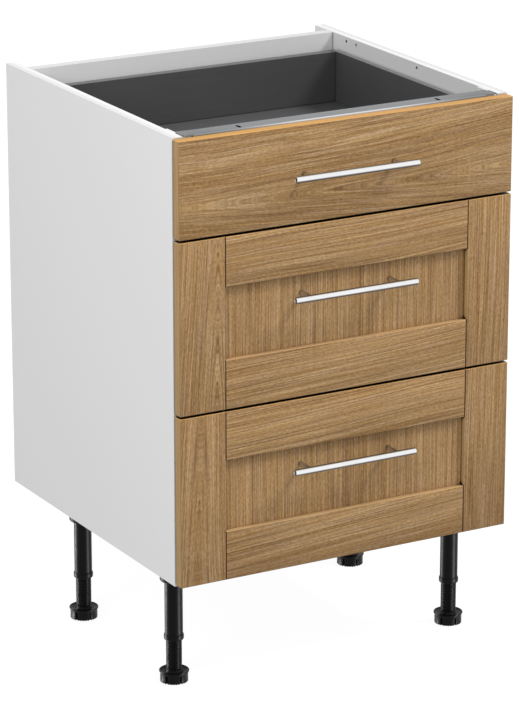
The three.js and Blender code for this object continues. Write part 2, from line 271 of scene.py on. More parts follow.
    # ring lines: the dark open grain of each ring, long and now and then broken
    here = k.span(broad, 0.66, 0.40, 0.45, 1.0)
    rings = k.math("MULTIPLY", line(f1, 0.19), k.span(run(i1, 0.075 * dash, 27.0, 1.0), 0.42, 0.60))
    rings = k.math("MULTIPLY", rings, here)
    face = k.mix(k.math("MULTIPLY", rings, 0.86 * lines), face, (0.120, 0.052, 0.018))
    rings2 = k.math("MULTIPLY", line(f2, 0.34), k.span(run(i2, 0.045 * dash, 39.0, 0.0), 0.50, 0.66))
    face = k.mix(k.math("MULTIPLY", rings2, 0.50 * lines), face, (0.140, 0.066, 0.024))
    # paler late wood beside them
    i3, f3 = ladder(0.0080, 51.0)
    pale = k.math("MULTIPLY", line(f3, 0.12), k.span(run(i3, 0.16 * dash, 57.0, 0.0), 0.54, 0.68))
    face = k.mix(k.math("MULTIPLY", pale, 0.50 * lines), face, (0.640, 0.455, 0.260))
    # the tint wanders a little between honey and grey-brown
    tint = k.noise(k.vec(k.math("MULTIPLY_ADD", u, 9.0, oy), k.math("MULTIPLY_ADD", across, 120.0, ox), 2.2), 1.0, 1.0, 0.5)
    face = k.mix(k.span(tint, 0.35, 0.65), k.mix(1.0, face, (0.985, 1.0, 1.09), "MULTIPLY"), k.mix(1.0, face, (1.02, 0.995, 0.93), "MULTIPLY"))
    # pores: short dark dashes
    pores = streak(0.010, 0.00055, 21.0, 0.0, 0.5)
    pores = k.math("MULTIPLY", k.span(pores, 0.64, 0.74), here)
    face = k.mix(k.math("MULTIPLY", pores, 0.50), face, (0.100, 0.050, 0.020))

    # broad drift of tone over the board
    drift = k.noise(k.vec(k.math("MULTIPLY_ADD", u, 1.6, 4 + seed), k.math("MULTIPLY_ADD", v, 3.2, 8 + seed), 0.0), 1.0, 1.0, 0.4)
    face = k.scale(face, k.span(drift, 0.25, 0.75, 0.97 * tone, 1.03 * tone))

    # edging: straight, fine and warmer
    nx, ny, nz = k.normal()
    e_long = k.math("MULTIPLY_ADD", z if edge_along == "z" else x, 9.0, seed)
    e_fine = k.noise(k.vec(e_long, k.math("MULTIPLY", y, 700.0), k.math("MULTIPLY", x if edge_along == "z" else z, 12.0)), 1.0, 2.0, 0.6)
    edge = k.ramp(e_fine, [(0.25, (0.360, 0.220, 0.091)), (0.52, (0.460, 0.290, 0.128)), (0.80, (0.565, 0.370, 0.176))])
    # painted light: the edging that looks up is lighter and takes a tint of painted light, which paints shade instead
    # where the tint is darker
    edge = k.scale(edge, k.span(nz, 0.3, 0.8, 0.92, 1.15, smooth=True))
    edge = k.mix(k.span(nz, 0.3, 0.8), edge, k.scale(k.mix(1.0, edge, tuple(c * 0.8 for c in top_edge_lighting), "MULTIPLY"), 1.25))
    # painted highlight on the rounded edges that look up, and painted shade on the edges that look down
    arris_highlight = k.math("MULTIPLY", k.span(nz, 0.15, 0.40), k.span(nz, 0.95, 0.80))
    edge = k.scale(edge, k.math("MULTIPLY_ADD", arris_highlight, 0.85, 1.0))
    edge = k.scale(edge, k.span(nz, -0.15, -0.45, 1.0, 0.14))
    flat = k.math("ABSOLUTE", ny)
    col = k.mix(k.span(flat, 0.88, 0.99, smooth=True), edge, face)
    # upright arrises: a dark line where a rail meets a stile, and a fainter line of painted shade at the outer corners
    upright = k.span(k.math("ABSOLUTE", nx), 0.20, 0.34)
    outer = k.span(k.math("ABSOLUTE", x), 0.285, 0.290)
    outer_corner_shade = k.math("MULTIPLY", k.span(flat, 0.06, 0.16), k.span(flat, 0.80, 0.62))
    joint = k.math("MULTIPLY", k.span(flat, 0.06, 0.16), k.span(flat, 0.975, 0.94))
    if opening:
        inside = k.math("MULTIPLY", k.span(z, opening[0], opening[0] + 0.0006), k.span(z, opening[1], opening[1] - 0.0006))
        joint = k.math("MULTIPLY", joint, k.math("SUBTRACT", 1.0, inside))
    outer_corner_shade = k.math("MULTIPLY", k.math("MULTIPLY", outer_corner_shade, outer), 0.45)
    joint = k.math("MULTIPLY", k.math("MULTIPLY", joint, k.math("SUBTRACT", 1.0, outer)), 0.95)
    dark = k.math("MULTIPLY", k.math("ADD", outer_corner_shade, joint), upright)
    col = k.mix(dark, col, (0.075, 0.020, 0.006))
    # painted shade in the joints and narrow gaps, but not on the painted highlight of the rounded edges
    shade = k.span(k.crevice(0.008), *painted_shade_range, smooth=True)
    col = k.scale(col, k.math("MAXIMUM", shade, k.math("MULTIPLY", arris_highlight, k.math("SUBTRACT", 1.0, k.span(flat, 0.88, 0.99)))))
    k.link(col, k.bsdf.inputs["Base Color"])

    k.link(k.span(mixv, 0.1, 0.9, 0.60, 0.50), k.bsdf.inputs["Roughness"])
    k.bsdf.inputs["Specular IOR Level"].default_value = 0.16
    relief = k.math("SUBTRACT", k.math("MULTIPLY", mixv, 0.5), k.math("ADD", pores, rings))
    k.link(k.bump(relief, 0.00010, 0.6), k.bsdf.inputs["Normal"])
    return k.mat


def white_board(name="white_board", tone=1.0):
    """White melamine facing: a fine pearl in the surface and a trace of unevenness in the white."""
    k = Nodes(name)
    x, y, z = k.coords()
    p = k.vec(x, y, z)
    cloud = k.noise(p, 9.0, 2.0, 0.5)
    speck = k.noise(p, 620.0, 2.0, 0.6)
    col = k.mix(cloud, (0.785, 0.787, 0.790), (0.815, 0.815, 0.813))
    col = k.scale(col, k.span(speck, 0.3, 0.7, 0.985 * tone, 1.012 * tone))
    # faces that look up are a shade greyer, apart from the inner half of the side panels' top edges
    up = k.span(k.normal()[2], 0.6, 0.95, smooth=True)
    side = k.math("ABSOLUTE", x)
    bright = k.math("MULTIPLY", k.span(side, 0.2815, 0.2825), k.span(side, 0.2915, 0.2905))
    shade = k.math("MULTIPLY", up, k.math("SUBTRACT", 1.0, bright))
    col = k.scale(col, k.math("MULTIPLY_ADD", shade, -0.12, 1.0))
    # painted shade in the joints and narrow gaps
    col = k.scale(col, k.span(k.crevice(0.006), 0.36, 0.84, 0.56, 1.0))
    k.link(col, k.bsdf.inputs["Base Color"])
    k.link(k.span(cloud, 0.3, 0.7, 0.40, 0.50), k.bsdf.inputs["Roughness"])
    k.bsdf.inputs["Specular IOR Level"].default_value = 0.45
    pearl = k.noise(p, 1500.0, 1.0, 0.5)
    k.link(k.bump(k.math("MULTIPLY_ADD", speck, 0.5, pearl), 0.00003, 0.5), k.bsdf.inputs["Normal"])
    return k.mat


def raw_board():
    """Bare chipboard, where a drill has gone through the white facing."""
    k = Nodes("raw_board")
    x, y, z = k.coords()
    chips = k.noise(k.vec(x, y, z), 900.0, 3.0, 0.6)
    k.link(k.ramp(chips, [(0.3, (0.055, 0.036, 0.020)), (0.7, (0.16, 0.11, 0.065))]), k.bsdf.inputs["Base Color"])
    k.bsdf.inputs["Roughness"].default_value = 0.9
    k.link(k.bump(chips, 0.0002, 0.8), k.bsdf.inputs["Normal"])
    return k.mat


def powder_coat(name, dark, light, rough=(0.42, 0.52), grain=1400.0, top=None):
    """Fine-textured powder coat.  top, if given, is the tone of faces that look up."""
    k = Nodes(name)
    x, y, z = k.coords()
    p = k.vec(x, y, z)
    cloud = k.noise(p, 7.0, 2.0, 0.5)
    orange = k.noise(p, grain, 2.0, 0.55)
    col = k.mix(cloud, dark, light)
    col = k.scale(col, k.span(orange, 0.3, 0.7, 0.94, 1.06))
    if top is not None:
        n = k.normal()
        col = k.mix(k.span(n[2], 0.80, 0.97, smooth=True), col, top)
        # painted shade: the rolled edges are darker
        rolled_shade = k.math("MULTIPLY", k.span(n[2], 0.08, 0.20), k.span(n[2], 0.95, 0.80))
        col = k.scale(col, k.math("MULTIPLY_ADD", rolled_shade, -0.55, 1.0))
    k.link(col, k.bsdf.inputs["Base Color"])
    k.link(k.span(orange, 0.3, 0.7, *rough), k.bsdf.inputs["Roughness"])
    k.bsdf.inputs["Specular IOR Level"].default_value = 0.4
    k.link(k.bump(orange, 0.00004, 0.6), k.bsdf.inputs["Normal"])
    return k.mat


def drawer_board(name="drawer_board", up=1.22):
    """Anthracite melamine board with a faint linear texture along the drawer's width.  up is how much lighter, as
    painted light, the faces that look up are."""
    k = Nodes(name)
    x, y, z = k.coords()
    fibre = k.noise(k.vec(k.math("MULTIPLY", x, 14.0), k.math("MULTIPLY", y, 420.0), k.math("MULTIPLY", z, 420.0)), 1.0, 2.0, 0.6)
    cloud = k.noise(k.vec(x, y, z), 6.0, 2.0, 0.5)
    col = k.mix(fibre, (0.063, 0.063, 0.0645), (0.080, 0.080, 0.082))
    n = k.normal()
    # painted light: faces that look up are lighter
    col = k.scale(col, k.span(n[2], 0.35, 0.85, 1.0, up, smooth=True))
    # painted shade in the joints and inner corners
    col = k.scale(col, k.span(k.crevice(0.006), 0.30, 0.80, 0.55, 1.0))
    col = k.scale(col, k.span(cloud, 0.25, 0.75, 0.95, 1.05))
    k.link(col, k.bsdf.inputs["Base Color"])
    k.link(k.span(fibre, 0.3, 0.7, 0.48, 0.58), k.bsdf.inputs["Roughness"])
    k.bsdf.inputs["Specular IOR Level"].default_value = 0.35
    k.link(k.bump(fibre, 0.00004, 0.5), k.bsdf.inputs["Normal"])
    return k.mat


def moulded(name, base, rough, grain=900.0, spec=0.5, depth=0.00004):
    """Moulded plastic with a fine spark-eroded grain."""
    k = Nodes(name)
    x, y, z = k.coords()
    p = k.vec(x, y, z)
    cloud = k.noise(p, 22.0, 2.0, 0.5)
    grit = k.noise(p, grain, 2.0, 0.6)
    lo = tuple(c * 0.90 for c in base)
    hi = tuple(min(1.0, c * 1.08) for c in base)
    k.link(k.mix(cloud, lo, hi), k.bsdf.inputs["Base Color"])
    k.link(k.span(grit, 0.3, 0.7, rough - 0.05, rough + 0.06), k.bsdf.inputs["Roughness"])
    k.bsdf.inputs["Specular IOR Level"].default_value = spec
    k.link(k.bump(grit, depth, 0.5), k.bsdf.inputs["Normal"])
    return k.mat


def brushed(name, base, rough, along="x", metallic=1.0, depth=0.00002, contrast=0.06, bar=False, ring=False):
    """Metal with fine lines drawn along x, y or z.  bar gives a handle bar painted shade and darker painted reflections
    on its underside and upper side, and ring gives a post a painted shadow ring where it meets the front."""
    k = Nodes(name)
    x, y, z = k.coords()
    long_, short = 18.0, 2600.0
    s = {a: (long_ if a == along else short) for a in "xyz"}
    line = k.noise(k.vec(k.math("MULTIPLY", x, s["x"]), k.math("MULTIPLY", y, s["y"]), k.math("MULTIPLY", z, s["z"])), 1.0, 2.0, 0.6)
    cloud = k.noise(k.vec(x, y, z), 30.0, 2.0, 0.5)
    col = k.mix(line, tuple(c * (1 - contrast) for c in base), tuple(min(1.0, c * (1 + contrast)) for c in base))
    col = k.scale(col, k.span(cloud, 0.3, 0.7, 0.97, 1.02))
    if bar:
        # painted shade and darker painted reflections on the underside and upper side of the bar
        nz = k.normal()[2]
        col = k.scale(col, k.span(nz, -0.08, -0.38, 1.0, 0.16, smooth=True))
        col = k.scale(col, k.span(nz, 0.70, 0.93, 1.0, 0.42, smooth=True))
    # painted shadow: a dark ring where the post meets the front
    if ring:
        col = k.scale(col, k.span(k.crevice(0.007), 0.50, 0.95, 0.10, 1.0))
    k.link(col, k.bsdf.inputs["Base Color"])
    k.bsdf.inputs["Metallic"].default_value = metallic
    k.link(k.span(line, 0.25, 0.75, rough - 0.05, rough + 0.07), k.bsdf.inputs["Roughness"])
    k.link(k.bump(line, depth, 0.5), k.bsdf.inputs["Normal"])
    return k.mat


def coated_rail():
    """Grey coated sheet steel: a satin grey with a trace of roller lines."""
    k = Nodes("coated_rail")
    x, y, z = k.coords()
    line = k.noise(k.vec(k.math("MULTIPLY", x, 30.0), k.math("MULTIPLY", y, 1800.0), k.math("MULTIPLY", z, 1800.0)), 1.0, 2.0, 0.6)
    cloud = k.noise(k.vec(x, y, z), 12.0, 2.0, 0.5)
    col = k.mix(cloud, (0.190, 0.197, 0.204), (0.214, 0.221, 0.228))
    col = k.scale(col, k.span(line, 0.3, 0.7, 0.95, 1.05))
    # the top is a shade darker towards the ends
    side = k.math("ABSOLUTE", x)
    col = k.scale(col, k.span(side, 0.150, 0.250, 1.0, 0.78, smooth=True))
    # painted highlight: the front bend is paler, with a brighter painted reflection over the middle of the rail
    nx, ny, nz = k.normal()
    front = k.math("MULTIPLY", k.span(ny, -0.05, -0.25), k.span(z, TOP_Z / 1000 - 0.0042, TOP_Z / 1000 - 0.0030))
    col = k.scale(col, k.math("MULTIPLY_ADD", front, 0.75, 1.0))
    bend = k.math("MULTIPLY", front, k.span(nz, 0.995, 0.93))
    bend = k.math("MULTIPLY", bend, k.span(k.math("ABSOLUTE", k.math("SUBTRACT", x, 0.01)), 0.215, 0.060, smooth=True))
    col = k.mix(bend, col, (0.72, 0.745, 0.78))
    # painted shade: the cut edges inside the slots are dark
    cut = k.math("MULTIPLY", k.span(k.math("ABSOLUTE", nz), 0.5, 0.3), k.span(k.math("ABSOLUTE", k.math("SUBTRACT", side, 0.178)), 0.0042, 0.0036))
    cut = k.math("MULTIPLY", cut, k.math("MULTIPLY", k.span(y, -0.2568, -0.2562), k.span(y, -0.2370, -0.2376)))
    col = k.scale(col, k.math("MULTIPLY_ADD", cut, -0.95, 1.0))
    k.link(col, k.bsdf.inputs["Base Color"])
    k.bsdf.inputs["Metallic"].default_value = 0.75
    k.link(k.span(line, 0.3, 0.7, 0.36, 0.46), k.bsdf.inputs["Roughness"])
    k.link(k.bump(line, 0.00002, 0.5), k.bsdf.inputs["Normal"])
    return k.mat


WHITE = white_board()
# a shaded copy of the white board: painted shade on the back rail
WHITE_RAIL_SHADED = white_board("white_board_rail_shaded", 0.92)
RAW = raw_board()
BRACKET = moulded("bracket_plastic", (0.86, 0.86, 0.85), 0.28, grain=500.0, depth=0.00002)
RAIL = coated_rail()
BLACK = moulded("leg_plastic", (0.0018, 0.0019, 0.0020), 0.36, grain=700.0, spec=0.10)
STEEL_SIDE = powder_coat("drawer_steel", (0.068, 0.068, 0.0695), (0.082, 0.082, 0.0835), top=(0.300, 0.300, 0.303))
BOARD_DARK = drawer_board()
# a lit copy of the drawer board: more painted light on the back's faces that look up
BACK_BOARD_LIT_TOP = drawer_board("drawer_back_board_lit_top", 1.9)
HANDLE = brushed("handle_metal", (0.89, 0.89, 0.89), 0.26, along="x", contrast=0.05, bar=True)
POST = brushed("handle_post_metal", (0.66, 0.65, 0.64), 0.34, along="y", ring=True)
PLUG = brushed("handle_plug_metal", (0.20, 0.20, 0.20), 0.42, along="z")
ZINC = brushed("runner_zinc", (0.62, 0.63, 0.64), 0.34, along="y", contrast=0.09)
SCREW = brushed("screw_zinc", (0.66, 0.66, 0.655), 0.30, along="x")
DARK_PLASTIC = moulded("drawer_plastic", (0.045, 0.045, 0.047), 0.40)
BUFFER = moulded("buffer", (0.55, 0.55, 0.54), 0.35)

# ---------------------------------------------------------------------- meshes


def link_object(name, bm, material, smooth_deg=32.0):
    """Turns a bmesh into a linked object, smooth except over edges sharper than smooth_deg."""
    bmesh.ops.recalc_face_normals(bm, faces=bm.faces)
    limit = math.radians(smooth_deg)
    for e in bm.edges:
        e.smooth = not (len(e.link_faces) == 2 and e.calc_face_angle(0.0) > limit)
    for f in bm.faces:
        f.smooth = True
    me = bpy.data.meshes.new(name)
    bm.to_mesh(me)
    bm.free()
    ob = bpy.data.objects.new(name, me)
    bpy.context.scene.collection.objects.link(ob)
    for m in material if isinstance(material, (list, tuple)) else [material]:
        me.materials.append(m)
    return ob


def adopt(ob, body, slot, *nodes):
    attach(ob, body)
    if nodes:
        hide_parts(*nodes)
    return ob


def box_bm(lo, hi, bevel=0.0, segments=2):
    """A box from lowest to highest corner, in carcass millimetres, with rounded edges."""
    bm = bmesh.new()
    a, b = P(*lo), P(*hi)
    bmesh.ops.create_cube(bm, size=1.0)
    for v in bm.verts:
        v.co = Vector([(a[i] + b[i]) / 2 + v.co[i] * (b[i] - a[i]) for i in range(3)])
    if bevel:
        bmesh.ops.bevel(bm, geom=bm.edges[:], offset=bevel / 1000, segments=segments, profile=0.5, affect="EDGES")
    return bm


def fillet(points, radii, steps=4):
    """Rounds the corners of a closed 2-D outline."""
    out = []
    n = len(points)
    for i in range(n):
        p = Vector(points[i])
        r = radii[i] if isinstance(radii, (list, tuple)) else radii
        if r <= 0:
            out.append(p)
            continue
        a, b = Vector(points[i - 1]), Vector(points[(i + 1) % n])
        da, db = (a - p).normalized(), (b - p).normalized()
        ang = da.angle(db)
        cut = min(r / math.tan(ang / 2), (a - p).length * 0.49, (b - p).length * 0.49)
        rr = cut * math.tan(ang / 2)
        centre = p + (da + db).normalized() * (rr / math.sin(ang / 2))
        s, e = p + da * cut, p + db * cut
        a0 = math.atan2(*(s - centre).yx)
        a1 = math.atan2(*(e - centre).yx)
        d = (a1 - a0 + math.pi) % (2 * math.pi) - math.pi
        for k in range(steps + 1):
            t = a0 + d * k / steps
            out.append(centre + Vector((math.cos(t), math.sin(t))) * rr)
    return out


def prism(outline, start, end, place):
    """A solid between two copies of an outline.  place(u, v, t) gives the point in carcass millimetres."""
    bm = bmesh.new()
    rings = []
    for t in (start, end):
        rings.append([bm.verts.new(P(*place(p[0], p[1], t))) for p in outline])
    n = len(outline)
    for i in range(n):
        j = (i + 1) % n
        bm.faces.new((rings[0][i], rings[0][j], rings[1][j], rings[1][i]))
    bm.faces.new(rings[0][::-1])
    bm.faces.new(rings[1])
    return bm


def turned_bm(profile, segments, place):
    """A turned solid from [radius, height] points that start and end on the axis.  place(a, b, h) puts it in the frame."""
    bm = bmesh.new()
    rings = []
    for r, h in profile:
        if r < 1e-6:
            rings.append([bm.verts.new(P(*place(0.0, 0.0, h)))])
        else:
            rings.append([
                bm.verts.new(P(*place(r * math.cos(2 * math.pi * i / segments), r * math.sin(2 * math.pi * i / segments), h)))
                for i in range(segments)
            ])
    for a, b in zip(rings, rings[1:]):
        for i in range(segments):
            j = (i + 1) % segments
            if len(a) == 1 and len(b) == 1:
                break
            if len(a) == 1:
                bm.faces.new((a[0], b[j], b[i]))
            elif len(b) == 1:
                bm.faces.new((a[i], a[j], b[0]))
            else:
                bm.faces.new((a[i], a[j], b[j], b[i]))
    return bm


def soften(node, width, segments=2, angle=35.0):
    """Rounds the edges of a CAD node with modifiers, and leaves its own mesh alone."""
    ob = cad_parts[node]
    w = ob.modifiers.new("weld", "WELD")
    w.merge_threshold = 0.00001
    d = ob.modifiers.new("flats", "DECIMATE")
    d.decimate_type = "DISSOLVE"
    d.angle_limit = math.radians(0.5)
    b = ob.modifiers.new("edges", "BEVEL")
    b.width = width / 1000
    b.segments = segments
    b.limit_method = "ANGLE"
    b.angle_limit = math.radians(angle)
    b.use_clamp_overlap = True
    b.harden_normals = False
    return ob


def paint(ob, material):
    """Gives every material slot of a CAD node the same material."""
    if not ob.data.materials:
        ob.data.materials.append(material)
    for s in ob.material_slots:
        s.link = "OBJECT"
        s.material = material
    return ob


# --------------------------------------------------------------------- carcass

for node in ("left_side_panel", "right_side_panel", "base_panel", "back_panel", "back_rail"):
    paint(soften(node, 0.5), WHITE_RAIL_SHADED if node == "back_rail" else WHITE)

# The pilot holes show bare chipboard inside.
for side, tag in ((-1, "left"), (1, "right")):
    for i, y in enumerate((242, 434, 466)):
        x0 = side * INNER_X
        bm = turned_bm(
            [(0, 10.6), (2.46, 10.6), (2.46, 0.35), (2.1, 0.35), (2.1, 10.0), (0, 10.0)], 20,
            lambda a, b, h, x0=x0, y=y, side=side: (x0 + side * h, y + a, TOP_Z - 8 + b))
        adopt(link_object(f"pilot_hole_{tag}_{i + 1}", bm, RAW), "carcass", "carcass_board")

# Front rail: folded sheet with rounded bends, slots and stepped ends.
def front_rail():
    t, z, y0, y1, r = 1.5, TOP_Z, 0.5, 30.5, 1.7
    drop = 16.0
    outer = [(y0, z - drop), (y0, z), (y1, z), (y1, z - drop)]
    inner = [(y1 - t, z - drop), (y1 - t, z - t), (y0 + t, z - t), (y0 + t, z - drop)]
    outline = fillet(outer + inner, [0, r, r, 0, 0, 0.5, 0.5, 0], 4)
    bm = prism(outline, -263.0, 263.0, lambda u, v, s: (s, u, v))
    mid = link_object("front_rail_tmp", bm, RAIL)

    def slab(points, name):
        b = prism(points, z - t, z - 0.02, lambda u, v, s: (u, v, s))
        return link_object(name, b, RAIL)

    x_end, x_step, ys, rr = 281.0, 277.6, 24.4, 4.0
    ends = []
    for side in (-1, 1):
        pts = [(260, y0 + 0.2), (x_end - 3, y0 + 0.2), (x_end - 3, y0 + 4), (x_end, y0 + 4), (x_end, ys), (x_step, ys), (x_step, y1), (260, y1)]
        pts = [(side * p[0], p[1]) for p in fillet(pts, [0, 0.6, 0.4, 1.0, 1.0, 0.4, rr, 0], 4)]
        ends.append(slab(pts, f"rail_end_tmp_{side}"))
    for e in ends:
        m = mid.modifiers.new("end", "BOOLEAN")
        m.operation, m.solver, m.object = "UNION", "EXACT", e
    cutters = []
    for side in (-1, 1):
        pts = [(side * 178 - 2.8, 5), (side * 178 + 2.8, 5), (side * 178 + 2.8, 20), (side * 178 - 2.8, 20)]
        cutters.append(slab(fillet(pts, 2.75, 5), f"rail_slot_tmp_{side}"))
        cutters[-1].scale = (1, 1, 1)
        for v in cutters[-1].data.vertices:
            v.co.z += 0.004 if v.co.z > (z - 0.5) / 1000 else -0.004
        m = mid.modifiers.new("slot", "BOOLEAN")
        m.operation, m.solver, m.object = "DIFFERENCE", "EXACT", cutters[-1]
    return bake(mid, "front_rail_steel", ends + cutters, RAIL)


def bake(ob, name, spare, material, smooth_deg=32.0):
    """Applies an object's modifiers, drops the tools and gives back a clean object."""
    dg = bpy.context.evaluated_depsgraph_get()
    dg.update()
    me = bpy.data.meshes.new_from_object(ob.evaluated_get(dg))
    for s in [ob, *spare]:
        bpy.data.objects.remove(s, do_unlink=True)
    bm = bmesh.new()
    bm.from_mesh(me)
    bpy.data.meshes.remove(me)
    bmesh.ops.remove_doubles(bm, verts=bm.verts, dist=1e-6)
    for f in bm.faces:
        f.material_index = 0
    return link_object(name, bm, material, smooth_deg)


adopt(front_rail(), "carcass", "rail_steel", "front_rail")


def bracket(side):
    """Plastic bracket: a plate on the side panel, a ledge inside the rail's end and a stiffening rib."""
    parts = [
        box_bm(*ordered(side, (278.0, 25, 890), (281.7, 54, 915)), 0.8, 3),
        box_bm(*ordered(side, (264.0, 2.5, 901), (281.7, 28.4, 913.2)), 0.8, 3),
        box_bm(*ordered(side, (278.0, 2.5, 890), (281.7, 28.4, 913.2)), 0.8, 3),
        box_bm(*ordered(side, (276.2, 33, 897), (281.7, 50, 899)), 0.5, 2),
        box_bm(*ordered(side, (276.2, 33, 908.5), (281.7, 50, 910.5)), 0.5, 2),
    ]
    base = link_object(f"bracket_tmp_{side}", parts[0], BRACKET)
    tools = [link_object(f"bracket_tool_{side}_{i}", p, BRACKET) for i, p in enumerate(parts[1:])]
    for t in tools:
        m = base.modifiers.new("join", "BOOLEAN")
        m.operation, m.solver, m.object = "UNION", "EXACT", t
    return bake(base, f"rail_bracket_moulding_{'left' if side < 0 else 'right'}", tools, BRACKET)


def ordered(side, a, b):
    """The box for one side of the cabinet, from a box given for the right-hand side."""
    if side > 0:
        return a, b
    return (-b[0], a[1], a[2]), (-a[0], b[1], b[2])


for side, tag in ((-1, "left"), (1, "right")):
    adopt(bracket(side), "carcass", "bracket_plastic", f"rail_bracket_{tag}")


def screw_head(name, body, slot, at, axis, r=3.6, h=1.4, material=None, recess=True):
    """A pan-head screw with a small round recess, its head standing out along axis from a point in carcass millimetres.
    """
    ax = {"x": (1, 0, 0), "-x": (-1, 0, 0), "y": (0, 1, 0), "-y": (0, -1, 0), "z": (0, 0, 1), "-z": (0, 0, -1)}[axis]
    n = Vector(ax)
    a = Vector((0, 0, 1)) if abs(n.z) < 0.5 else Vector((1, 0, 0))
    b = n.cross(a)

    def place(p, q, hh):
        v = Vector(at) + a * p + b * q + n * hh
        return tuple(v)

    prof = [(0, -0.2), (r, -0.2), (r, h * 0.35), (r * 0.93, h * 0.72), (r * 0.7, h * 0.95), (r * 0.45, h), (r * 0.16, h), (r * 0.1, h * 0.35), (0, h * 0.3)]
    bm = turned_bm(prof, 24, place)
    return adopt(link_object(name, bm, material or SCREW), body, slot)


for side, tag in ((-1, "left"), (1, "right")):
    screw_head(f"bracket_screw_{tag}", "carcass", "runner_zinc", (side * 278.0, 41.5, 903.7), "-x" if side > 0 else "x", r=3.2, h=1.2)

# ------------------------------------------------------------------------ legs


def sleeve(place_name, cx, cy):
    prof = [
        (0, 190.7), (13.15, 190.7), (13.15, 72.0), (13.6, 71.5), (14.7, 71.5), (15.4, 71.9), (15.9, 72.8), (16.1, 74.0), (16.1, 78.2), (15.95, 79.4),
        (15.5, 80.4), (14.95, 81.0), (14.6, 82.0), (14.6, 126), (14.55, 168), (14.6, 171), (19.4, 171), (20.8, 171.5), (21.7, 172.8), (22, 174.5),
        (22, 194.2), (21.6, 194.7), (0, 194.7),
    ]
    bm = turned_bm(prof, 64, lambda a, b, h: (cx + a, cy + b, h))
    ob = link_object(f"leg_tube_{place_name}", bm, BLACK, 40)
    return ob


def foot(place_name, cx, cy):
    """Screw foot: threaded stem, dished flange and a castellated skirt with slots and teeth."""
    seg = 96
    r_root, r_crest, pitch = 11.7, 12.82, 3.5
    bm = bmesh.new()
    # helical stem as a height field over angle, stitched a full turn at a time
    z0, z1 = 20.2, 131.0
    step = 8
    rows = int((z1 - z0) / pitch * step)
    rings = []
    for r in range(rows + 1):
        z = z0 + (z1 - z0) * r / rows
        ring = []
        for i in range(40):
            ph = (z / pitch - i / 40.0) % 1.0
            # a trapezoid thread form
            d = abs(ph - 0.5) * 2
            h = min(1.0, max(0.0, (0.66 - d) / 0.40))
            fade = min(1.0, max(0.0, (z - z0) / 2.0), max(0.0, (z1 - z) / 2.0))
            rad = r_root + (r_crest - r_root) * h * fade
            a = 2 * math.pi * i / 40
            ring.append(bm.verts.new(P(cx + rad * math.cos(a), cy + rad * math.sin(a), z)))
        rings.append(ring)
    for a, b in zip(rings, rings[1:]):
        for i in range(40):
            j = (i + 1) % 40
            bm.faces.new((a[i], a[j], b[j], b[i]))
    top = bm.verts.new(P(cx, cy, z1 + 0.8))
    low = bm.verts.new(P(cx, cy, z0 - 4.0))
    for i in range(40):
        j = (i + 1) % 40
        bm.faces.new((rings[-1][i], rings[-1][j], top))
        bm.faces.new((rings[0][j], rings[0][i], low))
    stem = link_object(f"stem_tmp_{place_name}", bm, BLACK, 50)

    prof = [
        (0, 6.0), (8.0, 6.0), (8.0, 0.4), (8.4, 0.0), (22.1, 0.0), (22.5, 0.4), (22.5, 15.6), (22.8, 16.1), (23.7, 16.3), (24.1, 16.8), (24.1, 18.1),
        (23.8, 18.6), (23.0, 18.7), (22.2, 18.1), (15.6, 16.6), (14.2, 16.9), (13.2, 18.6), (11.7, 20.8), (0, 20.8),
    ]
    disc = link_object(f"disc_tmp_{place_name}", turned_bm(prof, seg, lambda a, b, h: (cx + a, cy + b, h)), BLACK, 35)
    tools = []

    def cutter(name, w, r0, r1, za, zb, ang):
        c, s = math.cos(ang), math.sin(ang)
        pts = [(-w / 2, za), (w / 2, za), (w / 2, zb), (-w / 2, zb)]
        b = prism(fillet(pts, [0, 0, min(0.8, w * 0.3), min(0.8, w * 0.3)], 3), r0, r1,
                  lambda u, v, t: (cx + t * c - u * s, cy + t * s + u * c, v))
        return link_object(name, b, BLACK)

    joined = bmesh.new()
    for i in range(6):
        tools.append(cutter(f"slot_tmp_{i}", 4.3, 19.6, 26, -3, 13.6, (i + 0.5) * math.pi / 3))
        for j in (-1.5, -0.5, 0.5, 1.5):
            tools.append(cutter(f"tooth_tmp_{i}_{j}", 2.7, 20.2, 26, -3, 2.0, i * math.pi / 3 + j * 0.196))
    for t in tools:
        tmp = t.data.copy()
        joined.from_mesh(tmp)
        bpy.data.meshes.remove(tmp)
    cut = link_object(f"foot_cut_{place_name}", joined, BLACK)
    m = disc.modifiers.new("cut", "BOOLEAN")
    m.operation, m.solver, m.object = "DIFFERENCE", "EXACT", cut
    m = disc.modifiers.new("stem", "BOOLEAN")
    m.operation, m.solver, m.object = "UNION", "EXACT", stem
    return bake(disc, f"leg_screw_foot_{place_name}", [cut, stem, *tools], BLACK, 38)


leg_objects = []
for name, (cx, cy) in LEGS.items():
    leg_objects.append(adopt(sleeve(name, cx, cy), "carcass", "leg_plastic", f"leg_sleeve_{name}"))
    leg_objects.append(adopt(foot(name, cx, cy), f"foot_{name}", "leg_plastic", f"leg_foot_{name}"))

# --------------------------------------------------------------------- drawers


def frame_piece(name, lo, hi, groove, tenon=None, bevel=0.85):
    """A stile or rail of a framed front: rounded board, with the groove that holds the panel."""
    ob = link_object(name + "_tmp", box_bm(lo, hi, bevel, 2), WHITE)
    tools = []
    if tenon:
        t = link_object(name + "_tenon", box_bm(tenon[0], tenon[1], 0.2, 1), WHITE)
        m = ob.modifiers.new("tenon", "BOOLEAN")
        m.operation, m.solver, m.object = "UNION", "EXACT", t
        tools.append(t)
    g = link_object(name + "_groove", box_bm(groove[0], groove[1]), WHITE)
    m = ob.modifiers.new("groove", "BOOLEAN")
    m.operation, m.solver, m.object = "DIFFERENCE", "EXACT", g
    tools.append(g)
    return ob, tools


